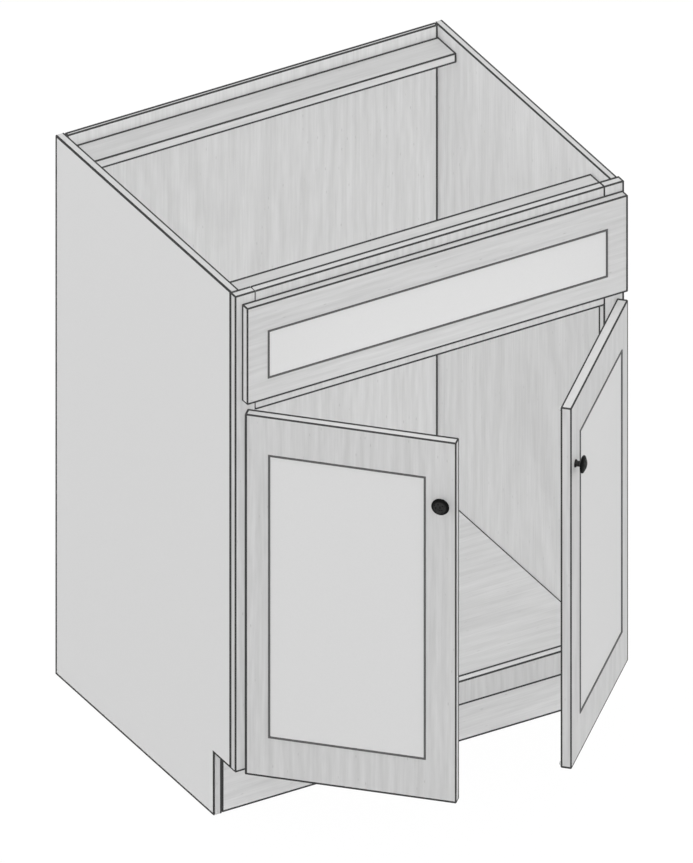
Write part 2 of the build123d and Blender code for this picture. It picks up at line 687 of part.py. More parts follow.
def door(name, side):
    """A door with everything that swings with it; side is 1 for the left door."""
    plane = hinge_plane(side, REST_OPENING)
    inwards = -plane.y_dir
    opening = (HINGE_EDGE + DOOR_HINGE_STILE, LOCK_EDGE - DOOR_LOCK_STILE)
    front = FramedFront(
        plane,
        mirrored(side, HINGE_EDGE, LOCK_EDGE),
        (DOOR_FACE, DOOR_BACK),
        (DOOR_BOTTOM, DOOR_TOP),
        mirrored(side, *opening),
        (DOOR_BOTTOM + DOOR_BOTTOM_RAIL, DOOR_TOP - DOOR_TOP_RAIL),
    )
    with BuildPart() as hinge_stile:
        front_stile(front, mirrored(side, HINGE_EDGE, opening[0]))
        for height in HINGE_HEIGHTS.values():
            mouth = on_plane(plane, side * CUP_CENTRE, DOOR_BACK, height)
            rod(mouth, inwards, CUP_RADIUS + FIT, CUP_DEPTH + FIT, Mode.SUBTRACT)
            screw_holes(cup_screw_places(plane, side, height), inwards, CUP_SCREW)
    finish(hinge_stile, f"{name}_hinge_stile")

    with BuildPart() as lock_stile:
        front_stile(front, mirrored(side, opening[1], LOCK_EDGE))
        screw_holes([knob_screw_place(plane, side)], inwards, KNOB_SCREW)
    finish(lock_stile, f"{name}_lock_stile")

    front_rails(name, front)
    front_panel(f"{name}_panel", front)
    knob(f"{name}_knob", plane, side)

    with BuildPart() as knob_screw:
        screws([knob_screw_place(plane, side)], inwards, KNOB_SCREW)
    finish(knob_screw, f"{name}_knob_screw")

    with BuildPart() as bumpers:
        for place in bumper_places(plane, side):
            rod(place, plane.y_dir, BUMPER_RADIUS, DOOR_STANDOFF - BUMPER_PLAY)
    finish(bumpers, f"{name}_bumpers")

    with BuildPart() as cup_screws:
        for height in HINGE_HEIGHTS.values():
            screws(cup_screw_places(plane, side, height), inwards, CUP_SCREW)
    finish(cup_screws, f"{name}_cup_screws")

    for level, height in HINGE_HEIGHTS.items():
        hinge_cup(f"{name}_{level}_hinge_cup", plane, side, height)
        hinge_arm(f"{name}_{level}_hinge_arm", side, height)
        hinge_pin(f"{name}_{level}_hinge_pin", plane, height)


door("left_door", 1)
door("right_door", -1)

with BuildPart() as base_screws:
    for hand in (-1, 1):
        for hinge_height in HINGE_HEIGHTS.values():
            screws(base_screw_places(hand, hinge_height), (hand, 0, 0), BASE_SCREW)
finish(base_screws, "hinge_arm_screws")
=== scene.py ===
import json
import math

import bmesh
import bpy
from bpy.props import FloatProperty, FloatVectorProperty, PointerProperty
from mathutils import Matrix, Vector


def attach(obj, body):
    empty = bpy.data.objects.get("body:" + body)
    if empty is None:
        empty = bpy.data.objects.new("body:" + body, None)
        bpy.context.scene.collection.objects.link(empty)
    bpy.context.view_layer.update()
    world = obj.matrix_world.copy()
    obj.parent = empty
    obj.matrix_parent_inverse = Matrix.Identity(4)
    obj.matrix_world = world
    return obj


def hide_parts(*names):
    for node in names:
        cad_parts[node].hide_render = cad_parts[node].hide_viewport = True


bl_info = {
    "name": "Sink Base Cabinet Finishes",
    "version": (1, 0, 0),
    "blender": (4, 5, 0),
    "location": "View3D > Sidebar > Cabinet",
    "description": "Finishes, hardware, light and camera for a framed sink base cabinet",
    "category": "Object",
}

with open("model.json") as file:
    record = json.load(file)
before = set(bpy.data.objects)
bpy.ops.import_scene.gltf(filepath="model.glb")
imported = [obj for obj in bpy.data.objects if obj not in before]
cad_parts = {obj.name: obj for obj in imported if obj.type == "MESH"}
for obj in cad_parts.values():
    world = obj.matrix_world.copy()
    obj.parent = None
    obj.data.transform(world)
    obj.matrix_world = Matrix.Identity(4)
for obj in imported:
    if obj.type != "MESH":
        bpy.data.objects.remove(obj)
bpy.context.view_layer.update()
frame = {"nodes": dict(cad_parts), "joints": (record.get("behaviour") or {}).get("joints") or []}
MM = 0.001
DOORS = ("left_door", "right_door")
X, Y, Z = 0, 1, 2
IMAGE_WIDTH = 693
IMAGE_HEIGHT = 863
MERGE_DISTANCE = 0.002 * MM
IOR = 1.5                           # of print, lacquer, powder coat, polyurethane and wood
WAVE_RADIANS = 20                   # phase of a wave texture for each unit of its coordinate
MOST_NOISE = {1: 0.3, 2: 0.7}       # the values that most of a noise texture lies between
SQUARELY = {1: 0.8, 2: 1.0}         # a normal's part along an axis, on slanting and on square faces

# Printed boards
BOARD_GLOSS = 0.5                   # mirror share of a board's face; its edge lines have none
BOARD_PAINTED_LIGHT = {"toe_board": 1.15, "rear_stretcher": 0.96}   # painted light on whole boards: the toe board lightened against its shade under the frame, the rear stretcher darkened against its brighter light
TOP_PAINTED_SHADE = 0.83                     # painted shade: faces that look up are darkened against a board's others, as they take more light
DOOR_TOP_PAINTED_SHADE = 0.93                # the same painted shade on the doors
OWN_TOP_PAINTED_SHADES = {"floor_panel": 1.0, "bottom_rail": 1.0}        # boards whose tops already lie in shade, and get no painted shade
PATTERN_STEP = (1.37, 2.71, 0.83)   # move of the grain from seed to seed, in pattern cells
RING_STEP = 6 * MM                  # move of the growth rings for each of these cells
RING_TILT = math.radians(2.2)       # lean of the rings, which opens them into arches
END_GRAIN_SHARE = 0.55              # share of the end grain's colour on faces that cut the grain
CHANNEL_SHADE_LIP = 0.3 * MM              # painted shade of the channel, carried on to the rails and stiles round it
FIELD_SKIN = 0.2 * MM               # front of a panel's field, which keeps the lacquer's colour
BACK_SKIN = 1 * MM                  # back of a panel, which keeps it too

# Screws
SCREW_SEGMENTS = 20
THREAD_CORE = 0.72                  # core of a thread, in shaft radii
HEAD_RISE = 1.2                     # height of a raised head, in shaft radii


def hex_colour(code):
    """A linear colour from an sRGB hex value such as #c9c9c9."""
    parts = [int(code[i : i + 2], 16) / 255 for i in (1, 3, 5)]
    return tuple(p / 12.92 if p <= 0.04045 else ((p + 0.055) / 1.055) ** 2.4 for p in parts)


# ---- Settings that a user would change ----
def length(name, description, millimetres):
    """A length setting, given in millimetres and kept in metres."""
    return FloatProperty(
        name=name,
        description=description,
        default=millimetres * MM,
        min=0.0,
        unit="LENGTH",
        subtype="DISTANCE",
    )


def colour(name, description, code):
    """A colour setting from its hex value."""
    return FloatVectorProperty(
        name=name,
        description=description,
        default=hex_colour(code),
        size=3,
        min=0,
        max=1,
        subtype="COLOR",
    )


def strength(name, description, value):
    """A lamp's strength."""
    return FloatProperty(name=name, description=description, default=value, min=0)


class CabinetColours(bpy.types.PropertyGroup):
    """Colours of the finishes."""

    wood_light: colour("Light wood", "Early wood of the printed maple grain", "#d1d1d1")
    wood_dark: colour("Dark wood", "Late wood of the printed maple grain", "#c0c0c0")
    wood_end: colour("End grain", "Faces that cut across the grain", "#d4d4d4")
    pore: colour("Pores", "Short dark pores in the grain", "#a4a4a4")
    arris: colour("Arris", "Eased edges of the boards, where the print ends", "#464646")
    lacquer: colour("Lacquer", "Plain panels and the finished end", "#d9d9d9")
    # Channel: painted shade, the dark of the recess round the panels given as colour.
    channel: colour("Channel", "Channel round the panels", "#767676")
    bead: colour("Bead", "Lacquered bead in that channel", "#5e5e5e")
    end_line: colour("End line", "Edges of the finished end", "#444444")
    coating: colour("Powder coat", "Rim and foot of the knobs", "#060606")
    # Hammered coat: painted highlight, the lighter tone on the raised parts of the knobs' crown.
    hammered: colour("Hammered coat", "Raised part of the knobs' hammered face", "#2e2e2e")
    nickel: colour("Nickel", "Hinge cups and arms", "#b9b6b0")
    zinc: colour("Zinc", "Screws", "#a9acaf")
    steel: colour("Steel", "Hinge pins", "#8f9092")
    bumper: colour("Bumper", "Clear door bumpers", "#e6e8e8")
    beech: colour("Beech", "Dowels", "#c9ab84")


class CabinetSizes(bpy.types.PropertyGroup):
    """Sizes of patterns and details."""

    arris_width: length("Arris width", "Dark line along each edge, measured on a face", 2.0)
    arris_side: length("Side arris width", "The same beside a right-hand face or an underside", 3.7)
    arris_rear: length("Rear arris width", "The same beside a rear face", 5.4)
    hinge_arris: length(
        "Hinge side arris width", "The same beside the right door's hinge edge", 5.4
    )
    right_door_rear: length(
        "Right door rear arris width", "The same beside the right door's back", 2.9
    )
    channel_width: length("Channel width", "Channel between the frame and the panel's field", 3.0)
    bead_width: length("Bead width", "Lacquered bead that fills the channel", 2.4)
    bead_depth: length("Bead depth", "How far the bead reaches into the channel", 3.0)
    bead_proud: length("Bead rise", "How far the bead stands out of the front", 1.4)
    joint_line: length("Joint line", "Line on a rail's end, where it meets a stile", 0.3)
    end_top: length("End line, top", "Line along the top of the finished end", 1.8)
    end_front: length("End line, front", "Line along the front of the finished end", 1.0)
    end_foot: length("End line, foot", "Line along the foot of the finished end", 4.5)
    end_rear: length("End line, rear", "Line along the rear of the finished end", 5.2)
    cloud_width: length("Cloud width", "Soft light and dark areas, across the grain", 17)
    cloud_length: length("Cloud length", "Soft light and dark areas, along the grain", 190)
    streak_width: length("Streak width", "Fine streaks, across the grain", 3.2)
    streak_length: length("Streak length", "Fine streaks, along the grain", 75)
    ring_spacing: length("Ring spacing", "Growth rings of the figure", 11)
    pore_spacing: length("Pore spacing", "Pores, across the grain", 9)
    pore_length: length("Pore length", "Pore cells, along the grain", 34)
    roller_grain: length("Roller grain", "Stipple that a lacquer roller leaves", 1.6)
    knob_stem: length("Knob stem radius", "Neck of the knob", 4.2)
    knob_foot: length("Knob foot radius", "Foot of the knob on the door", 6.0)
    dent_spacing: length("Dent spacing", "Dents in the hammered face of the knobs", 2.9)
    dent_depth: length("Dent depth", "Depth of the dents", 0.22)
    thread_pitch: length("Thread pitch", "Wood screw threads", 1.8)


class CabinetLights(bpy.types.PropertyGroup):
    """Studio light and view."""

    sky: strength("Sky", "White sky, which the cabinet shades", 0.778)
    left: strength("Left fill", "Broad lamp on the left, without shadow", 0.722)
    front: strength("Front fill", "Broad lamp in front, without shadow", 0.9)
    top: strength("Top fill", "Broad lamp above, without shadow", 0.606)
    rear: strength("Rear fill", "Broad lamp behind, without shadow", 0.5)
    right: strength("Right fill", "Broad lamp on the right, without shadow", 0.42)
    azimuth: FloatProperty(
        name="Azimuth",
        description="Camera to the left of the front",
        default=math.radians(30.0),
        subtype="ANGLE",
    )
    elevation: FloatProperty(
        name="Elevation",
        description="Camera above the horizon",
        default=math.radians(31.173),
        subtype="ANGLE",
    )
    pixels_per_mm: FloatProperty(
        name="Scale", description="Image pixels for each millimetre", default=0.7186
    )
    target: FloatVectorProperty(
        name="Target",
        description="Point in the middle of the image",
        default=(-0.03314, -0.07613, 0.48119),
        subtype="XYZ",
    )


# ---- Places read from the frame ----
class OwnPlane:
    """A body's own plane: the cabinet's axes, or x and y along and through a door, from its pin."""

    def __init__(self, body):
        self.body = body
        self.matrix = Matrix.Identity(4)
        self.turn = 0.0
        for joint in frame["joints"]:
            if joint["child"] == body:
                self.turn = math.radians(joint["range_deg"][0]) * joint["axis"][Z]
                pin = Vector((joint["pos_m"][X], joint["pos_m"][Y], 0))
                self.matrix = Matrix.Rotation(self.turn, 4, "Z") @ Matrix.Translation(-pin)

    def box(self, *nodes):
        """Lowest and highest corner of some nodes, on this plane's axes."""
        points = [self.matrix @ v.co for node in nodes for v in frame["nodes"][node].data.vertices]
        low = Vector([min(p[axis] for p in points) for axis in (X, Y, Z)])
        high = Vector([max(p[axis] for p in points) for axis in (X, Y, Z)])
        return low, high

    def solids(self, node):
        """Boxes of the separate solids in a node, on this plane's axes."""
        mesh = bmesh.new()
        mesh.from_mesh(frame["nodes"][node].data)
        bmesh.ops.remove_doubles(mesh, verts=mesh.verts, dist=MERGE_DISTANCE)
        mesh.transform(self.matrix)
        left = set(mesh.verts)
        boxes = []
        while left:
            waiting = [left.pop()]
            found = []
            while waiting:
                vertex = waiting.pop()
                found.append(vertex.co.copy())
                for edge in vertex.link_edges:
                    other = edge.other_vert(vertex)
                    if other in left:
                        left.remove(other)
                        waiting.append(other)
            low = Vector([min(p[axis] for p in found) for axis in (X, Y, Z)])
            high = Vector([max(p[axis] for p in found) for axis in (X, Y, Z)])
            boxes.append((low, high))
        mesh.free()
        return sorted(boxes, key=lambda box: tuple(round(v, 5) for v in box[0]))


CABINET = OwnPlane("cabinet")


# ---- Materials ----
def add_node(tree, kind, inputs=None, **settings):
    """Add a node with its settings; an input takes a value, a socket, or a node's first output."""
    node = tree.nodes.new(kind)
    for name, value in settings.items():
        setattr(node, name, value)
    for key, value in (inputs or {}).items():
        if isinstance(value, bpy.types.Node):
            value = value.outputs[0]
        if isinstance(value, bpy.types.NodeSocket):
            tree.links.new(value, node.inputs[key])
        else:
            node.inputs[key].default_value = value
    return node


def new_material(name):
    """An empty material, its tree and its output node."""
    material = bpy.data.materials.new(name)
    material.use_nodes = True
    material.node_tree.nodes.clear()
    return material, material.node_tree, add_node(material.node_tree, "ShaderNodeOutputMaterial")


def finish_material(tree, output, inputs):
    """Close a material with one principled shader."""
    shader = add_node(tree, "ShaderNodeBsdfPrincipled", inputs)
    tree.links.new(shader.outputs[0], output.inputs["Surface"])


def own_position(tree, plane):
    """Position at rest, on a body's own plane."""
    coordinates = add_node(tree, "ShaderNodeTexCoord")
    inputs = {
        "Vector": coordinates.outputs["Object"],
        "Location": plane.matrix.translation,
        "Rotation": (0, 0, plane.turn),
    }
    return add_node(tree, "ShaderNodeMapping", inputs, vector_type="POINT")


def own_normal(tree, plane):
    """Normal of the surface at rest, on a body's own plane."""
    coordinates = add_node(tree, "ShaderNodeTexCoord")
    inputs = {"Vector": coordinates.outputs["Normal"], "Rotation": (0, 0, plane.turn)}
    return add_node(tree, "ShaderNodeMapping", inputs, vector_type="POINT")


def arris_widths(right=None, left=None, rear=None):
    """Widths of the lines beside the low and the high faces of a board, on each axis."""
    sizes = bpy.context.scene.cabinet_sizes
    low = Vector((left or sizes.arris_width, sizes.arris_width, sizes.arris_side))
    high = Vector((right or sizes.arris_side, rear or sizes.arris_rear, sizes.arris_width))
    return low, high


def in_widths(tree, position, box, widths):
    """Distances inside the low and the high faces of a box, each in widths of its line."""
    above = add_node(tree, "ShaderNodeVectorMath", {0: position, 1: box[0]}, operation="SUBTRACT")
    below = add_node(tree, "ShaderNodeVectorMath", {0: box[1], 1: position}, operation="SUBTRACT")
    above = add_node(tree, "ShaderNodeVectorMath", {0: above, 1: widths[0]}, operation="DIVIDE")
    below = add_node(tree, "ShaderNodeVectorMath", {0: below, 1: widths[1]}, operation="DIVIDE")
    return above, below


def arris_line(tree, position, box, widths):
    """1 within the width of any edge of a box, and 0 elsewhere on its faces."""
    above, below = in_widths(tree, position, box, widths)
    nearest = add_node(tree, "ShaderNodeVectorMath", {0: above, 1: below}, operation="MINIMUM")
    axes = add_node(tree, "ShaderNodeSeparateXYZ", {0: nearest}).outputs
    lower = add_node(tree, "ShaderNodeMath", {0: axes[X], 1: axes[Y]}, operation="MINIMUM")
    upper = add_node(tree, "ShaderNodeMath", {0: axes[X], 1: axes[Y]}, operation="MAXIMUM")
    capped = add_node(tree, "ShaderNodeMath", {0: upper, 1: axes[Z]}, operation="MINIMUM")
    second = add_node(tree, "ShaderNodeMath", {0: lower, 1: capped}, operation="MAXIMUM")
    return add_node(tree, "ShaderNodeMath", {0: second, 1: 1}, operation="LESS_THAN")


def notched_arris_line(tree, position, box, notch, widths):
    """The same for a side board, whose lower front corner is cut away at the notch."""
    above, below = in_widths(tree, position, box, widths)
    past = add_node(tree, "ShaderNodeVectorMath", {0: position, 1: notch}, operation="SUBTRACT")
    past = add_node(tree, "ShaderNodeVectorMath", {0: past, 1: widths[0]}, operation="DIVIDE")
    above = add_node(tree, "ShaderNodeSeparateXYZ", {0: above}).outputs
    below = add_node(tree, "ShaderNodeSeparateXYZ", {0: below}).outputs
    past = add_node(tree, "ShaderNodeSeparateXYZ", {0: past}).outputs
    foot = add_node(tree, "ShaderNodeMath", {0: past[Y], 1: above[Z]}, operation="MINIMUM")
    body = add_node(tree, "ShaderNodeMath", {0: above[Y], 1: past[Z]}, operation="MINIMUM")
    either = add_node(tree, "ShaderNodeMath", {0: foot, 1: body}, operation="MAXIMUM")
    far = add_node(tree, "ShaderNodeMath", {0: below[Y], 1: below[Z]}, operation="MINIMUM")
    outline = add_node(tree, "ShaderNodeMath", {0: either, 1: far}, operation="MINIMUM")
    across = add_node(tree, "ShaderNodeMath", {0: above[X], 1: below[X]}, operation="MINIMUM")
    second = add_node(tree, "ShaderNodeMath", {0: outline, 1: across}, operation="MAXIMUM")
    return add_node(tree, "ShaderNodeMath", {0: second, 1: 1}, operation="LESS_THAN")


def board_line(box, widths):
    """Edge lines of one plain board, for its material."""
    return lambda tree, position: arris_line(tree, position, box, widths)


def side_line(box, notch, widths):
    """Edge lines of one side board, for its material."""
    return lambda tree, position: notched_arris_line(tree, position, box, notch, widths)


def inside_rectangle(tree, position, box, margin):
    """How far a point lies inside a front's opening, seen square on, plus a margin."""
    above = add_node(tree, "ShaderNodeVectorMath", {0: position, 1: box[0]}, operation="SUBTRACT")
    below = add_node(tree, "ShaderNodeVectorMath", {0: box[1], 1: position}, operation="SUBTRACT")
    nearest = add_node(tree, "ShaderNodeVectorMath", {0: above, 1: below}, operation="MINIMUM")
    axes = add_node(tree, "ShaderNodeSeparateXYZ", {0: nearest}).outputs
    inner = add_node(tree, "ShaderNodeMath", {0: axes[X], 1: axes[Z]}, operation="MINIMUM")
    return add_node(tree, "ShaderNodeMath", {0: inner, 1: -margin}, operation="GREATER_THAN")


def wood_grain(tree, position, normal, along, seed, tone, top):
    """Colour and relief of maple grain that runs along one axis.

    tone is painted light on the whole board, and top is painted shade on its faces that look up,
    against the others.
    """
    sizes = bpy.context.scene.cabinet_sizes
    colours = bpy.context.scene.cabinet_colours
    shift = Vector([seed * step for step in PATTERN_STEP])

    def stretched(width, run):
        scale = Vector((1 / width,) * 3)
        scale[along] = 1 / run
        return add_node(
            tree, "ShaderNodeMapping", {"Vector": position, "Scale": scale, "Location": shift}
        )

    cloud = add_node(
        tree, "ShaderNodeTexNoise",
        {
            "Vector": stretched(sizes.cloud_width, sizes.cloud_length),
            "Scale": 1,
            "Detail": 2,
            "Distortion": 0.6,
        },
    )
    streak = add_node(
        tree, "ShaderNodeTexNoise",
        {
            "Vector": stretched(sizes.streak_width, sizes.streak_length),
            "Scale": 1,
            "Detail": 3,
            "Roughness": 0.6,
        },
    )
    tilt = [RING_TILT] * 3
    tilt[along] = 0
    rings_at = add_node(
        tree, "ShaderNodeMapping",
        {"Vector": position, "Rotation": tilt, "Location": shift * RING_STEP},
    )
    rings = add_node(
        tree, "ShaderNodeTexWave",
        {
            "Vector": rings_at,
            "Scale": 2 * math.pi / (WAVE_RADIANS * sizes.ring_spacing),
            "Distortion": 3.5,
            "Detail": 2,
            "Detail Scale": 0.6,
        },
        wave_type="RINGS", rings_direction="XYZ"[along],
    )
    pores = add_node(
        tree, "ShaderNodeTexVoronoi",
        {"Vector": stretched(sizes.pore_spacing, sizes.pore_length), "Scale": 1, "Randomness": 1},
    )
    clouds = add_node(tree, "ShaderNodeMapRange", {"Value": cloud, 1: 0.32, 2: 0.68, 3: 0, 4: 0.32})
    streaks = add_node(
        tree, "ShaderNodeMapRange", {"Value": streak, 1: 0.34, 2: 0.66, 3: 0, 4: 0.48}
    )
    figure = add_node(tree, "ShaderNodeMapRange", {"Value": rings.outputs["Fac"], 3: 0, 4: 0.28})
    blend = add_node(tree, "ShaderNodeMath", {0: clouds, 1: streaks}, operation="ADD")
    blend = add_node(tree, "ShaderNodeMath", {0: blend, 1: figure}, operation="ADD", use_clamp=True)
    wood = add_node(
        tree, "ShaderNodeMix",
        {0: blend, 6: (*colours.wood_dark, 1), 7: (*colours.wood_light, 1)}, data_type="RGBA",
    )
    looks = add_node(tree, "ShaderNodeSeparateXYZ", {0: normal}).outputs
    cut = add_node(tree, "ShaderNodeMath", {0: looks[along]}, operation="ABSOLUTE")
    cut = add_node(tree, "ShaderNodeMapRange", {"Value": cut, **SQUARELY, 3: 0, 4: END_GRAIN_SHARE})
    wood = add_node(
        tree,
        "ShaderNodeMix",
        {0: cut, 6: wood.outputs[2], 7: (*colours.wood_end, 1)},
        data_type="RGBA",
    )
    pore = add_node(tree, "ShaderNodeMapRange", {"Value": pores, 1: 0.03, 2: 0.1, 3: 0.6, 4: 0})
    wood = add_node(
        tree,
        "ShaderNodeMix",
        {0: pore, 6: wood.outputs[2], 7: (*colours.pore, 1)},
        data_type="RGBA",
    )
    # Painted light and shade: the whole board is scaled by tone, and faces that look up also by top.
    shade = add_node(
        tree, "ShaderNodeMapRange", {"Value": looks[Z], **SQUARELY, 3: tone, 4: tone * top}
    )
    wood = add_node(
        tree, "ShaderNodeVectorMath", {0: wood.outputs[2], "Scale": shade}, operation="SCALE"
    )
    return wood.outputs[0], streak


def maple_print_melamine(name, plane, along, line, seed, channel=None):
    """Pale grey maple print on melamine-faced board, with dark eased arrises.

    The print is matte and nearly flat, so the eye reads it by its soft streaks, by its sparse pores
    and by the line at each edge.
    """
    colours = bpy.context.scene.cabinet_colours
    material, tree, output = new_material(f"maple_print_melamine_{name}")
    position = own_position(tree, plane)
    # Painted light: some boards are lightened or darkened as a whole, to even out the light that
    # falls on them.
    tone = BOARD_PAINTED_LIGHT.get(name, 1.0)
    # Painted shade on the faces that look up, except on boards whose tops already lie in shade.
    top = OWN_TOP_PAINTED_SHADES.get(name, TOP_PAINTED_SHADE if plane is CABINET else DOOR_TOP_PAINTED_SHADE)
    wood, relief = wood_grain(tree, position, own_normal(tree, plane), along, seed, tone, top)
    edge = line(tree, position)
    lined = add_node(
        tree, "ShaderNodeMix", {0: edge, 6: wood, 7: (*colours.arris, 1)}, data_type="RGBA"
    )
    gloss = add_node(tree, "ShaderNodeMapRange", {"Value": edge, 3: BOARD_GLOSS, 4: 0})
    # Painted shade: the channel's walls on the rails and stiles take the channel colour.
    if channel is not None:
        lined = add_node(
            tree, "ShaderNodeMix",
            {0: channel(tree, position), 6: lined.outputs[2], 7: (*colours.channel, 1)},
            data_type="RGBA",
        )
    bump = add_node(
        tree, "ShaderNodeBump", {"Height": relief, "Strength": 0.06, "Distance": 0.2 * MM}
    )
    finish_material(
        tree, output,
        {
            "Base Color": lined.outputs[2],
            "Roughness": 0.55,
            "IOR": IOR,
            "Specular IOR Level": gloss,
            "Normal": bump,
        },
    )
    return material


def rolled_lacquer(name, plane, line, line_and_shade_colour):
    """Light grey lacquer, rolled on flat board: an even matte tone with a fine stipple."""
    colours = bpy.context.scene.cabinet_colours
    sizes = bpy.context.scene.cabinet_sizes
    material, tree, output = new_material(f"rolled_lacquer_{name}")
    position = own_position(tree, plane)
    stipple = add_node(
        tree,
        "ShaderNodeTexNoise",
        {"Vector": position, "Scale": 1 / sizes.roller_grain, "Detail": 2},
    )
    tone = add_node(tree, "ShaderNodeMapRange", {"Value": stipple, **MOST_NOISE, 3: 0.99, 4: 1.01})
    flat = add_node(
        tree, "ShaderNodeVectorMath", {0: colours.lacquer, "Scale": tone}, operation="SCALE"
    )
    # The line colour is the finished end's outline, and on the panels it is painted shade of the
    # channel.
    edge = line(tree, position)
    lined = add_node(
        tree, "ShaderNodeMix", {0: edge, 6: flat, 7: (*line_and_shade_colour, 1)}, data_type="RGBA"
    )
    gloss = add_node(tree, "ShaderNodeMapRange", {"Value": edge, 3: BOARD_GLOSS, 4: 0})
    bump = add_node(
        tree, "ShaderNodeBump", {"Height": stipple, "Strength": 0.08, "Distance": 0.1 * MM}
    )
    finish_material(
        tree, output,
        {
            "Base Color": lined.outputs[2],
            "Roughness": 0.6,
            "IOR": IOR,
            "Specular IOR Level": gloss,
            "Normal": bump,
        },
    )
    return material


def bead_lacquer(name):
    """Darker grey lacquer, sprayed on a thin bead: even, so the eye reads one crisp outline."""
    colours = bpy.context.scene.cabinet_colours
    sizes = bpy.context.scene.cabinet_sizes
    material, tree, output = new_material(name)
    coordinates = add_node(tree, "ShaderNodeTexCoord")
    peel = add_node(
        tree, "ShaderNodeTexNoise",
        {"Vector": coordinates.outputs["Object"], "Scale": 1 / sizes.roller_grain, "Detail": 2},
    )
    tone = add_node(tree, "ShaderNodeMapRange", {"Value": peel, **MOST_NOISE, 3: 0.95, 4: 1.05})
    coat = add_node(
        tree, "ShaderNodeVectorMath", {0: colours.bead, "Scale": tone}, operation="SCALE"
    )
    bump = add_node(
        tree, "ShaderNodeBump", {"Height": peel, "Strength": 0.05, "Distance": 0.05 * MM}
    )
    finish_material(
        tree, output,
        {
            "Base Color": coat,
            "Roughness": 0.6,
            "IOR": IOR,
            "Specular IOR Level": 0.1,
            "Normal": bump,
        },
    )
    return material


def plated_steel(name, tone, roughness, grain):
    """Pressed or drawn steel, bright or plated: a metal gleam broken by faint rolling marks."""
    material, tree, output = new_material(name)
    coordinates = add_node(tree, "ShaderNodeTexCoord")
    marks_at = add_node(
        tree, "ShaderNodeMapping",
        {"Vector": coordinates.outputs["Object"], "Scale": (1 / grain, 1 / grain, 0.15 / grain)},
    )
    marks = add_node(tree, "ShaderNodeTexNoise", {"Vector": marks_at, "Scale": 1, "Detail": 4})
    worn = add_node(tree, "ShaderNodeMapRange", {"Value": marks, **MOST_NOISE, 3: 0.88, 4: 1.06})
    shade = add_node(tree, "ShaderNodeVectorMath", {0: tone, "Scale": worn}, operation="SCALE")
    rough = add_node(
        tree,
        "ShaderNodeMapRange",
        {"Value": marks, **MOST_NOISE, 3: roughness * 0.8, 4: roughness * 1.25},
    )
    bump = add_node(
        tree, "ShaderNodeBump", {"Height": marks, "Strength": 0.1, "Distance": 0.05 * MM}
    )
    finish_material(
        tree, output, {"Base Color": shade, "Metallic": 1.0, "Roughness": rough, "Normal": bump}
    )
    return material


def hammered_powder_coat(name, plane, centre, radius):
    """Black powder coat on a cast knob: dark smooth rim, and a hammered face whose raised parts are
    lighter, as painted highlight.
    """
    colours = bpy.context.scene.cabinet_colours
    sizes = bpy.context.scene.cabinet_sizes
    material, tree, output = new_material(name)
    position = own_position(tree, plane)
    from_axis = add_node(
        tree, "ShaderNodeVectorMath", {0: position, 1: centre}, operation="SUBTRACT"
    )
    flat = add_node(
        tree, "ShaderNodeVectorMath", {0: from_axis, 1: (1, 0, 1)}, operation="MULTIPLY"
    )
    reach = add_node(tree, "ShaderNodeVectorMath", {0: flat}, operation="LENGTH").outputs["Value"]
    face = add_node(
        tree, "ShaderNodeMapRange", {"Value": reach, 1: radius * 0.62, 2: radius * 0.78, 3: 1, 4: 0}
    )
    dents = add_node(
        tree,
        "ShaderNodeTexVoronoi",
        {"Vector": flat, "Scale": 1 / sizes.dent_spacing, "Randomness": 0.55},
    )
    # Painted highlight: the raised parts of the crown, between the dents, take the lighter colour.
    raised = add_node(tree, "ShaderNodeMapRange", {"Value": dents, 1: 0.26, 2: 0.42, 3: 0, 4: 1})
    lit = add_node(tree, "ShaderNodeMath", {0: raised, 1: face}, operation="MULTIPLY")
    coat = add_node(
        tree, "ShaderNodeMix",
        {0: lit, 6: (*colours.coating, 1), 7: (*colours.hammered, 1)}, data_type="RGBA",
    )
    grit = add_node(
        tree, "ShaderNodeTexNoise", {"Vector": position, "Scale": 1 / (0.5 * MM), "Detail": 2}
    )
    bump = add_node(
        tree, "ShaderNodeBump", {"Height": grit, "Strength": 0.15, "Distance": 0.05 * MM}
    )
    finish_material(
        tree, output,
        {
            "Base Color": coat.outputs[2],
            "Roughness": 0.5,
            "IOR": IOR,
            "Specular IOR Level": 0.06,
            "Normal": bump,
        },
    )
    return material


def clear_polyurethane(name):
    """Clear soft polyurethane, cast in domes: glassy, slightly cloudy."""
    colours = bpy.context.scene.cabinet_colours
    material, tree, output = new_material(name)
    coordinates = add_node(tree, "ShaderNodeTexCoord")
    haze = add_node(
        tree,
        "ShaderNodeTexNoise",
        {"Vector": coordinates.outputs["Object"], "Scale": 1 / (1.2 * MM), "Detail": 2},
    )
    rough = add_node(tree, "ShaderNodeMapRange", {"Value": haze, **MOST_NOISE, 3: 0.18, 4: 0.34})
    inputs = {
        "Base Color": (*colours.bumper, 1),
        "Roughness": rough,
        "IOR": IOR,
        "Transmission Weight": 0.8,
    }
    finish_material(tree, output, inputs)
    return material


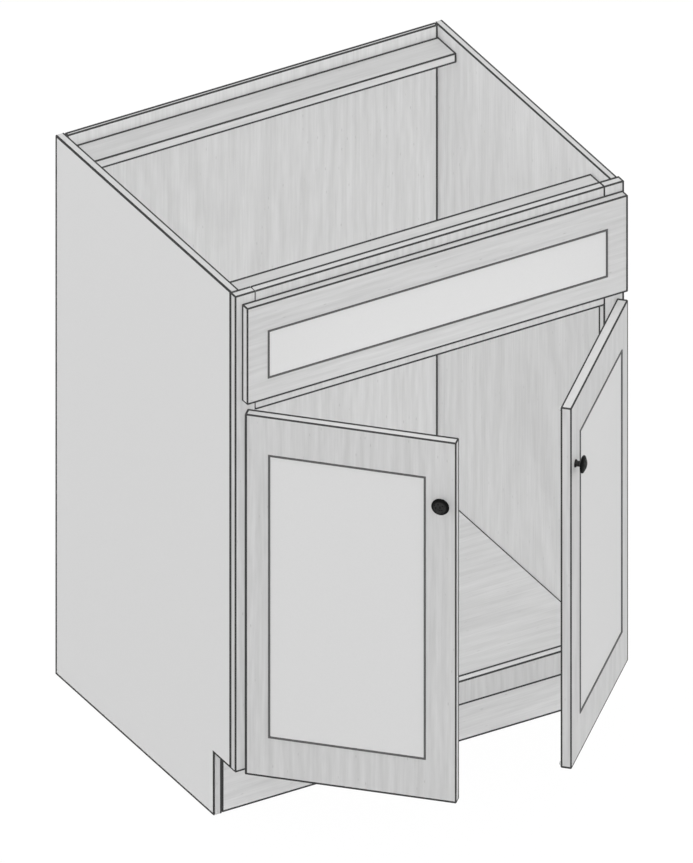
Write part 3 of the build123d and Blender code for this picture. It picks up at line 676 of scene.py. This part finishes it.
def turned_beech(name):
    """Turned beech: warm, with short dark flecks along the dowel."""
    colours = bpy.context.scene.cabinet_colours
    material, tree, output = new_material(name)
    coordinates = add_node(tree, "ShaderNodeTexCoord")
    along = add_node(
        tree, "ShaderNodeMapping",
        {
            "Vector": coordinates.outputs["Object"],
            "Scale": (1 / (9 * MM), 1 / (0.8 * MM), 1 / (0.8 * MM)),
        },
    )
    fleck = add_node(tree, "ShaderNodeTexNoise", {"Vector": along, "Scale": 1, "Detail": 3})
    tone = add_node(tree, "ShaderNodeMapRange", {"Value": fleck, **MOST_NOISE, 3: 0.82, 4: 1.06})
    wood = add_node(
        tree, "ShaderNodeVectorMath", {0: colours.beech, "Scale": tone}, operation="SCALE"
    )
    bump = add_node(
        tree, "ShaderNodeBump", {"Height": fleck, "Strength": 0.1, "Distance": 0.1 * MM}
    )
    finish_material(
        tree, output, {"Base Color": wood, "Roughness": 0.6, "IOR": IOR, "Normal": bump}
    )
    return material


def dress(node, material):
    """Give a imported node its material."""
    slots = frame["nodes"][node].data.materials
    slots.clear()
    slots.append(material)


# ---- Meshes ----
def ring_of(mesh, radius, height, count):
    """A ring of vertices about the z axis, or one vertex where the radius is zero."""
    if radius == 0:
        return [mesh.verts.new((0, 0, height))]
    angles = [2 * math.pi * i / count for i in range(count)]
    return [mesh.verts.new((radius * math.cos(a), radius * math.sin(a), height)) for a in angles]


def bridge(mesh, first, second):
    """Faces between two rings, either of which may be one vertex."""
    count = max(len(first), len(second))
    faces = []
    for i in range(count):
        j = (i + 1) % count
        corners = [
            first[i % len(first)],
            first[j % len(first)],
            second[j % len(second)],
            second[i % len(second)],
        ]
        unique = list(dict.fromkeys(corners))
        faces.append(mesh.faces.new(unique))
    return faces


def turned(mesh, outline, count):
    """Turn an outline of (radius, height) points about the z axis."""
    rings = [ring_of(mesh, radius, height, count) for radius, height in outline]
    for first, second in zip(rings, rings[1:]):
        for face in bridge(mesh, first, second):
            face.smooth = True
    return rings


def new_object(name, mesh, material):
    """Turn a bmesh into an object, and free it."""
    data = bpy.data.meshes.new(name)
    mesh.to_mesh(data)
    mesh.free()
    data.materials.append(material)
    made = bpy.data.objects.new(name, data)
    bpy.context.scene.collection.objects.link(made)
    return made


def add_mesh(mesh_out, mesh, matrix):
    """Put a bmesh in its place in another one, and free it."""
    mesh.transform(matrix)
    data = bpy.data.meshes.new("added")
    mesh.to_mesh(data)
    mesh.free()
    mesh_out.from_mesh(data)
    bpy.data.meshes.remove(data)


def to_piece(name, mesh, material, plane, matrix=None):
    """Turn a bmesh that is on a body's own plane into a piece that rides on the body."""
    if matrix is not None:
        mesh.transform(matrix)
    mesh.transform(plane.matrix.inverted())
    bmesh.ops.recalc_face_normals(mesh, faces=mesh.faces)
    piece = new_object(name, mesh, material)
    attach(piece, plane.body)
    return piece


def facing(origin, direction):
    """Matrix that takes +z to a direction at a place."""
    return Matrix.Translation(origin) @ Vector(
        direction
    ).to_track_quat("Z", "Y").to_matrix().to_4x4()


def cross_outline(arm, half):
    """Twelve corners of a cross."""
    corners = [(arm, half), (half, half), (half, arm)]
    quarter = [Matrix.Rotation(math.radians(90 * turn), 2) for turn in range(4)]
    return [tuple(turn @ Vector(corner)) for turn in quarter for corner in corners]


def cross_head(mesh, rim, height, radius):
    """Close a screw's head with a cross recess."""
    arm, half, depth = 0.62 * radius, 0.17 * radius, 0.5 * radius
    top = [mesh.verts.new((x, y, height)) for x, y in cross_outline(arm, half)]
    floor = [
        mesh.verts.new((x, y, height - depth)) for x, y in cross_outline(arm * 0.6, half * 0.8)
    ]
    loops = [(loop[i], loop[(i + 1) % len(loop)]) for loop in (rim, top) for i in range(len(loop))]
    edges = [mesh.edges.get(pair) or mesh.edges.new(pair) for pair in loops]
    bmesh.ops.triangle_fill(mesh, edges=edges, use_beauty=True)
    bridge(mesh, top, floor)
    mesh.faces.new(floor)


def wood_screw(mesh_out, head, shaft, length_below, sunk, matrix):
    """A wood screw whose head seats at z = 0 and whose point is at z = -length_below."""
    pitch = bpy.context.scene.cabinet_sizes.thread_pitch
    mesh = bmesh.new()
    core = shaft * THREAD_CORE
    if sunk:
        outline = [
            (head, 0), (head * 0.98, -head * 0.08), (shaft, -(head - shaft) * 1.25 - head * 0.08)
        ]
        top = 0
    else:
        top = shaft * HEAD_RISE
        outline = [
            (head * 0.72, top), (head * 0.9, top * 0.78), (head, top * 0.4), (head, 0), (shaft, 0)
        ]
    start = outline[-1][1] - pitch
    outline.append((shaft, start))
    turns = int((length_below - shaft * 2 + start) / pitch)
    for i in range(turns):
        outline.append((core, start - pitch * (i + 0.25)))
        outline.append((shaft, start - pitch * (i + 0.6)))
        outline.append((core, start - pitch * (i + 0.95)))
    outline.append((0, -length_below))
    rings = turned(mesh, outline, SCREW_SEGMENTS)
    cross_head(mesh, rings[0], top, head * (1 if sunk else 0.8))
    add_mesh(mesh_out, mesh, matrix)


def screw_piece(node, plane, material, axis, towards, sunk):
    """Replace a node of like screws; towards(box) is the direction of their points."""
    mesh = bmesh.new()
    across = Y if axis == X else X
    for low, high in plane.solids(node):
        head = (high[across] - low[across]) / 2
        shaft = head / 2
        direction = Vector((0, 0, 0))
        direction[axis] = towards((low, high))
        proud = 0 if sunk else shaft * HEAD_RISE
        seat = (low + high) / 2
        seat[axis] = low[axis] + proud if direction[axis] > 0 else high[axis] - proud
        reach = high[axis] - low[axis] - proud
        wood_screw(mesh, head, shaft, reach, sunk, facing(seat, -direction))
    piece = to_piece(f"{node}_threaded", mesh, material, plane)
    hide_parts(node)
    return piece


# ---- Operators ----
class CABINET_OT_carcass(bpy.types.Operator):
    """Finish the sides, back, floor, stretchers, toe board and cleats"""

    bl_idname = "cabinet.carcass"
    bl_label = "Carcass Boards"

    GRAIN = {
        "left_side_panel": Z,
        "right_side_panel": Z,
        "back_panel": Z,
        "floor_panel": X,
        "front_stretcher": X,
        "rear_stretcher": X,
        "toe_board": X,
        "rear_floor_cleat": X,
        "toe_glue_blocks": Z,
    }

    def execute(self, context):
        sizes = context.scene.cabinet_sizes
        skin = CABINET.box("left_finished_skin")
        notch = Vector((0, CABINET.box("toe_board")[0].y, CABINET.box("toe_board")[1].z))
        for seed, (node, along) in enumerate(self.GRAIN.items()):
            low, high = CABINET.box(node)
            if node == "left_side_panel":
                low.x = skin[0].x
            if node == "floor_panel":
                low.x = CABINET.box("left_side_panel")[1].x
                high.x = CABINET.box("right_side_panel")[0].x
            if node.endswith("side_panel"):
                line = side_line((low, high), notch, arris_widths())
            elif node == "floor_panel":
                widths = arris_widths(right=sizes.arris_width, rear=sizes.arris_width)
                line = board_line((low, high), widths)
            else:
                line = board_line((low, high), arris_widths())
            dress(node, maple_print_melamine(node, CABINET, along, line, seed + 1))
        widths = (
            Vector((sizes.end_top, sizes.end_front, sizes.end_foot)),
            Vector((sizes.end_top, sizes.end_rear, sizes.end_top)),
        )
        line = side_line(skin, notch, widths)
        end_line = context.scene.cabinet_colours.end_line
        dress("left_finished_skin", rolled_lacquer("left_finished_skin", CABINET, line, end_line))
        return {"FINISHED"}


class CABINET_OT_face_frame(bpy.types.Operator):
    """Finish the stiles, rails and dowels of the face frame"""

    bl_idname = "cabinet.face_frame"
    bl_label = "Face Frame"

    MEMBERS = ("left_stile", "right_stile", "bottom_rail", "middle_rail", "top_rail")

    def execute(self, context):
        sizes = context.scene.cabinet_sizes
        for seed, node in enumerate(self.MEMBERS):
            if node.endswith("rail"):
                widths = arris_widths(left=sizes.joint_line, right=sizes.joint_line)
            elif node == "left_stile":
                widths = arris_widths(right=sizes.arris_width)
            else:
                widths = arris_widths()
            line = board_line(CABINET.box(node), widths)
            dress(node, maple_print_melamine(node, CABINET, Z, line, seed + 21))
        dress("frame_dowels", turned_beech("turned_beech"))
        return {"FINISHED"}


def dress_front(prefix, stiles, plane, along, widths, seed):
    """Finish one framed front: four members with one outline, the panel, painted shade in the
    channel round it, and the bead.
    """
    colours = bpy.context.scene.cabinet_colours
    members = [f"{prefix}_{part}" for part in (*stiles, "top_rail", "bottom_rail")]
    whole = plane.box(*members)
    boxes = sorted((plane.box(f"{prefix}_{stile}") for stile in stiles), key=lambda box: box[0].x)
    opening_low = Vector((boxes[0][1].x, 0, plane.box(f"{prefix}_bottom_rail")[1].z))
    opening_high = Vector((boxes[1][0].x, 0, plane.box(f"{prefix}_top_rail")[0].z))
    opening = (opening_low, opening_high)

    def member_line(tree, position):
        return arris_line(tree, position, whole, widths)

    # Painted shade on the rails' and stiles' walls round the opening.
    def member_channel_shade(tree, position):
        return inside_rectangle(tree, position, opening, CHANNEL_SHADE_LIP)

    # Painted shade on the panel's edge in the channel, between its field and its back.
    def panel_channel_shade(tree, position):
        panel = plane.box(f"{prefix}_panel")
        depth = add_node(tree, "ShaderNodeSeparateXYZ", {0: position}).outputs[Y]
        behind = add_node(
            tree, "ShaderNodeMath", {0: depth, 1: panel[0].y + FIELD_SKIN}, operation="GREATER_THAN"
        )
        before = add_node(
            tree, "ShaderNodeMath", {0: depth, 1: panel[1].y - BACK_SKIN}, operation="LESS_THAN"
        )
        return add_node(tree, "ShaderNodeMath", {0: behind, 1: before}, operation="MULTIPLY")

    for node in members:
        dress(node, maple_print_melamine(node, plane, along, member_line, seed, member_channel_shade))
    dress(f"{prefix}_panel", rolled_lacquer(f"{prefix}_panel", plane, panel_channel_shade, colours.channel))
    panel_bead(prefix, plane, opening, whole[0].y)


def panel_bead(prefix, plane, opening, front):
    """The bead in a front's channel: four mitred lengths with rounded edges, a little proud."""
    sizes = bpy.context.scene.cabinet_sizes
    gap = (sizes.channel_width - sizes.bead_width) / 2
    near, far = gap, sizes.channel_width - gap
    top = front - sizes.bead_proud
    round_off = sizes.bead_width * 0.2
    section = (
        (near, front + sizes.bead_depth),
        (near, top + round_off),
        (near + round_off * 0.3, top + round_off * 0.3),
        (near + round_off, top),
        (far - round_off, top),
        (far - round_off * 0.3, top + round_off * 0.3),
        (far, top + round_off),
        (far, front + sizes.bead_depth),
    )
    mesh = bmesh.new()
    low, high = opening
    corners = ((low, low), (high, low), (high, high), (low, high))
    rings = []
    for across, up in corners:
        right = -1 if across is high else 1
        above = -1 if up is high else 1
        rings.append(
            [mesh.verts.new((across.x + right * inset, y, up.z + above * inset))
            for inset, y in section]
        )
    for first, second in zip(rings, rings[1:] + rings[:1]):
        bridge(mesh, first, second)
    material = bead_lacquer(f"sprayed_bead_lacquer_{prefix}")
    piece = to_piece(f"{prefix}_panel_bead", mesh, material, plane)


class CABINET_OT_fronts(bpy.types.Operator):
    """Finish the false drawer front and both doors"""

    bl_idname = "cabinet.fronts"
    bl_label = "Fronts"

    def execute(self, context):
        sizes = context.scene.cabinet_sizes
        door_widths = {
            "left_door": arris_widths(left=sizes.arris_side, right=sizes.arris_width),
            "right_door": arris_widths(right=sizes.hinge_arris, rear=sizes.right_door_rear),
        }
        dress_front("false_front", ("left_stile", "right_stile"), CABINET, X, arris_widths(), 41)
        for seed, door in enumerate(DOORS):
            stiles = ("hinge_stile", "lock_stile")
            dress_front(door, stiles, OwnPlane(door), Z, door_widths[door], 51 + seed)
        return {"FINISHED"}


class CABINET_OT_knobs(bpy.types.Operator):
    """Turn the knobs, with a hammered face"""

    bl_idname = "cabinet.knobs"
    bl_label = "Knobs"

    RIM_BACK = 7.8 * MM         # rim's back and front, from the top of the crown
    RIM_FRONT = 3.6 * MM
    RIM_STEPS = 6
    FACE_STEPS = 26
    SEGMENTS = 72
    DENTED = 0.74               # dented share of the crown's radius
    DENT_SPREAD = 0.32          # radius of a dent, in dent spacings

    def execute(self, context):
        for door in DOORS:
            self.make_knob(door, OwnPlane(door), context.scene.cabinet_sizes)
        return {"FINISHED"}

    def make_knob(self, door, plane, sizes):
        """One knob: foot, neck, flared cap with a rounded rim, and a low dented crown."""
        low, high = plane.box(f"{door}_knob")
        centre = (low + high) / 2
        radius = (high.x - low.x) / 2
        projection = high.y - low.y
        rim_low, rim_high = projection - self.RIM_BACK, projection - self.RIM_FRONT
        rim_round = (rim_high - rim_low) / 2
        outline = [
            (0, 0),
            (sizes.knob_foot, 0),
            (sizes.knob_foot, 0.9 * MM),
            (sizes.knob_foot - 0.4 * MM, 1.5 * MM),
            (sizes.knob_stem + 0.5 * MM, 2.2 * MM),
            (sizes.knob_stem, 3.2 * MM),
            (sizes.knob_stem, rim_low - 2.6 * MM),
            (sizes.knob_stem + 0.7 * MM, rim_low - 1.7 * MM),
            (sizes.knob_stem + 3.0 * MM, rim_low - 0.9 * MM),
        ]
        for i in range(self.RIM_STEPS + 1):
            turn = math.pi * (i / self.RIM_STEPS - 0.5)
            ring = radius - rim_round + rim_round * math.cos(turn)
            outline.append((ring, (rim_low + rim_high) / 2 + rim_round * math.sin(turn)))
        start = radius - rim_round
        crown = projection - rim_high
        for i in range(1, self.FACE_STEPS + 1):
            share = 1 - i / self.FACE_STEPS
            outline.append((start * share, rim_high + crown * (1 - share**2)))
        mesh = bmesh.new()
        rings = turned(mesh, outline, self.SEGMENTS)
        self.dent(rings[-self.FACE_STEPS :], start * self.DENTED, sizes)
        seat = Vector((centre.x, high.y, centre.z))
        material = hammered_powder_coat(f"hammered_powder_coat_{door}", plane, seat, radius)
        piece = to_piece(f"{door}_knob_turned", mesh, material, plane, facing(seat, (0, -1, 0)))
        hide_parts(f"{door}_knob")

    def dent(self, rings, reach, sizes):
        """Press dents into the crown, spaced on a sunflower spiral."""
        golden = math.pi * (3 - math.sqrt(5))
        count = int((reach / sizes.dent_spacing) ** 2 * math.pi)
        dents = []
        for i in range(count):
            away = reach * math.sqrt((i + 0.5) / count)
            dents.append((away * math.cos(golden * i), away * math.sin(golden * i)))
        spread = sizes.dent_spacing * self.DENT_SPREAD
        for ring in rings:
            for vertex in ring:
                near = min(math.hypot(vertex.co.x - x, vertex.co.y - y) for x, y in dents)
                vertex.co.z -= sizes.dent_depth * math.exp(-((near / spread) ** 2))


class CABINET_OT_hinges(bpy.types.Operator):
    """Finish the hinge cups, arms and pins"""

    bl_idname = "cabinet.hinges"
    bl_label = "Hinges"

    def execute(self, context):
        colours = context.scene.cabinet_colours
        nickel = plated_steel(
            "nickel_plated_pressed_steel", colours.nickel, roughness=0.38, grain=3 * MM
        )
        steel = plated_steel("drawn_steel", colours.steel, roughness=0.22, grain=1 * MM)
        for door in DOORS:
            for level in ("lower", "upper"):
                dress(f"{door}_{level}_hinge_cup", nickel)
                dress(f"{door}_{level}_hinge_arm", nickel)
                dress(f"{door}_{level}_hinge_pin", steel)
        return {"FINISHED"}


class CABINET_OT_screws(bpy.types.Operator):
    """Make the screws, with threads and cross recesses"""

    bl_idname = "cabinet.screws"
    bl_label = "Screws"

    def execute(self, context):
        colours = context.scene.cabinet_colours
        zinc = plated_steel("zinc_plated_steel", colours.zinc, roughness=0.34, grain=1.5 * MM)

        def towards_middle(box):
            return -1 if box[0].x > 0 else 1

        def away_from_middle(box):
            return -towards_middle(box)

        def forwards(box):
            return -1

        screw_piece("stretcher_screws", CABINET, zinc, X, towards_middle, True)
        screw_piece("floor_screws", CABINET, zinc, X, towards_middle, True)
        screw_piece("hinge_arm_screws", CABINET, zinc, X, away_from_middle, False)
        screw_piece("back_screws", CABINET, zinc, Y, forwards, True)
        screw_piece("false_front_screws", CABINET, zinc, Y, forwards, False)
        for door in DOORS:
            plane = OwnPlane(door)
            screw_piece(f"{door}_cup_screws", plane, zinc, Y, forwards, True)
            screw_piece(f"{door}_knob_screw", plane, zinc, Y, forwards, False)
        return {"FINISHED"}


class CABINET_OT_bumpers(bpy.types.Operator):
    """Cast the clear domes that soften the doors' closing"""

    bl_idname = "cabinet.bumpers"
    bl_label = "Bumpers"

    FOOT_SHARE = 0.25
    STEPS = 9
    SEGMENTS = 32

    def execute(self, context):
        material = clear_polyurethane("clear_polyurethane")
        for door in DOORS:
            plane = OwnPlane(door)
            mesh = bmesh.new()
            for low, high in plane.solids(f"{door}_bumpers"):
                self.dome(mesh, low, high)
            piece = to_piece(f"{door}_bumper_domes", mesh, material, plane)
            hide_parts(f"{door}_bumpers")
        return {"FINISHED"}

    def dome(self, mesh_out, low, high):
        """One dome on the door's back, with a short foot."""
        radius = (high.x - low.x) / 2
        height = high.y - low.y
        foot = height * self.FOOT_SHARE
        outline = [(0, 0), (radius, 0), (radius, foot)]
        for i in range(1, self.STEPS + 1):
            turn = math.pi / 2 * i / self.STEPS
            ring = 0 if i == self.STEPS else radius * math.cos(turn)
            outline.append((ring, foot + (height - foot) * math.sin(turn)))
        mesh = bmesh.new()
        turned(mesh, outline, self.SEGMENTS)
        middle = (low + high) / 2
        add_mesh(mesh_out, mesh, facing((middle.x, low.y, middle.z), (0, 1, 0)))


def seen_by_eye(tree):
    """1 for what shows directly, in metal or through clear pieces, and 0 for light on the object."""
    path = add_node(tree, "ShaderNodeLightPath")
    inputs = {0: path.outputs["Is Camera Ray"], 1: path.outputs["Is Glossy Ray"]}
    seen = add_node(tree, "ShaderNodeMath", inputs, operation="MAXIMUM")
    inputs = {0: seen, 1: path.outputs["Is Transmission Ray"]}
    return add_node(tree, "ShaderNodeMath", inputs, operation="MAXIMUM")


class CABINET_OT_stage(bpy.types.Operator):
    """Set up the white floor, the soft light and the camera"""

    bl_idname = "cabinet.stage"
    bl_label = "Stage"

    FLOOR_HALF = 8.0
    FLOOR_DROP = 0.3 * MM
    FLOOR_GREY = "#707070"      # what the floor throws back on to the object
    SHADOW_SHARE = 0.05         # how much of the object's shadow shows on the white floor
    LAMP_BREADTH = 120          # degrees of sky that a fill lamp takes up
    CAMERA_DISTANCE = 4.0

    def execute(self, context):
        lights = context.scene.cabinet_lights
        self.make_floor()
        self.make_sky(context.scene, lights.sky)
        back = Vector(
            (
                -math.sin(lights.azimuth) * math.cos(lights.elevation),
                -math.cos(lights.azimuth) * math.cos(lights.elevation),
                math.sin(lights.elevation),
            )
        )
        self.make_lamp("left_fill", Vector((-1, 0, 0)), lights.left)
        self.make_lamp("front_fill", Vector((0, -1, 0)), lights.front)
        self.make_lamp("top_fill", Vector((0, 0, 1)), lights.top)
        self.make_lamp("rear_fill", Vector((0, 1, 0)), lights.rear)
        self.make_lamp("right_fill", Vector((1, -0.4, 0)), lights.right)
        self.make_camera(context.scene, lights, back)
        return {"FINISHED"}

    def make_floor(self):
        """A white floor: it shows white, and keeps a faint share of the shadow."""
        half = self.FLOOR_HALF
        mesh = bmesh.new()
        corners = ((-half, -half), (half, -half), (half, half), (-half, half))
        mesh.faces.new([mesh.verts.new((x, y, -self.FLOOR_DROP)) for x, y in corners])
        material, tree, output = new_material("white_floor")
        white = add_node(tree, "ShaderNodeBsdfDiffuse", {"Color": (1, 1, 1, 1)})
        matt = add_node(tree, "ShaderNodeBsdfDiffuse", {"Color": (*hex_colour(self.FLOOR_GREY), 1)})
        glow = add_node(tree, "ShaderNodeEmission", {"Color": (1, 1, 1, 1), "Strength": 1.0})
        shown = add_node(tree, "ShaderNodeMixShader", {0: self.SHADOW_SHARE, 1: glow, 2: white})
        mixed = add_node(tree, "ShaderNodeMixShader", {0: seen_by_eye(tree), 1: matt, 2: shown})
        tree.links.new(mixed.outputs[0], output.inputs["Surface"])
        floor = new_object("floor", mesh, material)

    @staticmethod
    def make_sky(scene, strength):
        """A white sky, seen white by the camera and by metal and clear pieces."""
        world = bpy.data.worlds.new("white_sky")
        world.use_nodes = True
        tree = world.node_tree
        tree.nodes.clear()
        output = add_node(tree, "ShaderNodeOutputWorld")
        level = add_node(
            tree, "ShaderNodeMapRange", {"Value": seen_by_eye(tree), 3: strength, 4: 1.0}
        )
        sky = add_node(tree, "ShaderNodeBackground", {"Color": (1, 1, 1, 1), "Strength": level})
        tree.links.new(sky.outputs[0], output.inputs["Surface"])
        scene.world = world

    def make_lamp(self, name, direction, energy):
        """A distant lamp as broad as a wall, which fills the inside of the cabinet as well."""
        data = bpy.data.lights.new(name, "SUN")
        data.energy = energy
        data.angle = math.radians(self.LAMP_BREADTH)
        data.use_shadow = False
        data.cycles.use_multiple_importance_sampling = False
        lamp = bpy.data.objects.new(name, data)
        lamp.rotation_mode = "QUATERNION"
        lamp.rotation_quaternion = direction.to_track_quat("Z", "Y")
        bpy.context.scene.collection.objects.link(lamp)

    def make_camera(self, scene, lights, back):
        """A parallel view, as the cabinet is shown."""
        data = bpy.data.cameras.new("camera")
        data.type = "ORTHO"
        data.ortho_scale = max(IMAGE_WIDTH, IMAGE_HEIGHT) / lights.pixels_per_mm * MM
        camera = bpy.data.objects.new("camera", data)
        camera.location = Vector(lights.target) + back * self.CAMERA_DISTANCE
        camera.rotation_mode = "QUATERNION"
        camera.rotation_quaternion = back.to_track_quat("Z", "Y")
        scene.collection.objects.link(camera)
        scene.camera = camera
        scene.view_settings.view_transform = "Standard"


OPERATORS = (
    CABINET_OT_carcass,
    CABINET_OT_face_frame,
    CABINET_OT_fronts,
    CABINET_OT_knobs,
    CABINET_OT_hinges,
    CABINET_OT_screws,
    CABINET_OT_bumpers,
    CABINET_OT_stage,
)


class CABINET_PT_panel(bpy.types.Panel):
    """Sidebar panel with the cabinet's pieces and settings"""

    bl_idname = "CABINET_PT_panel"
    bl_label = "Sink Base Cabinet"
    bl_space_type = "VIEW_3D"
    bl_region_type = "UI"
    bl_category = "Cabinet"

    def draw(self, context):
        for operator in OPERATORS:
            self.layout.operator(operator.bl_idname)
        for group in ("cabinet_colours", "cabinet_sizes", "cabinet_lights"):
            settings = getattr(context.scene, group)
            box = self.layout.box()
            for name in settings.__annotations__:
                box.prop(settings, name)


CLASSES = (CabinetColours, CabinetSizes, CabinetLights, *OPERATORS, CABINET_PT_panel)


def register():
    for cls in CLASSES:
        bpy.utils.register_class(cls)
    bpy.types.Scene.cabinet_colours = PointerProperty(type=CabinetColours)
    bpy.types.Scene.cabinet_sizes = PointerProperty(type=CabinetSizes)
    bpy.types.Scene.cabinet_lights = PointerProperty(type=CabinetLights)


def unregister():
    del bpy.types.Scene.cabinet_lights
    del bpy.types.Scene.cabinet_sizes
    del bpy.types.Scene.cabinet_colours
    for cls in reversed(CLASSES):
        bpy.utils.unregister_class(cls)


def main():
    register()
    bpy.ops.cabinet.carcass()
    bpy.ops.cabinet.face_frame()
    bpy.ops.cabinet.fronts()
    bpy.ops.cabinet.knobs()
    bpy.ops.cabinet.hinges()
    bpy.ops.cabinet.screws()
    bpy.ops.cabinet.bumpers()
    bpy.ops.cabinet.stage()


if __name__ == "__main__":
    main()
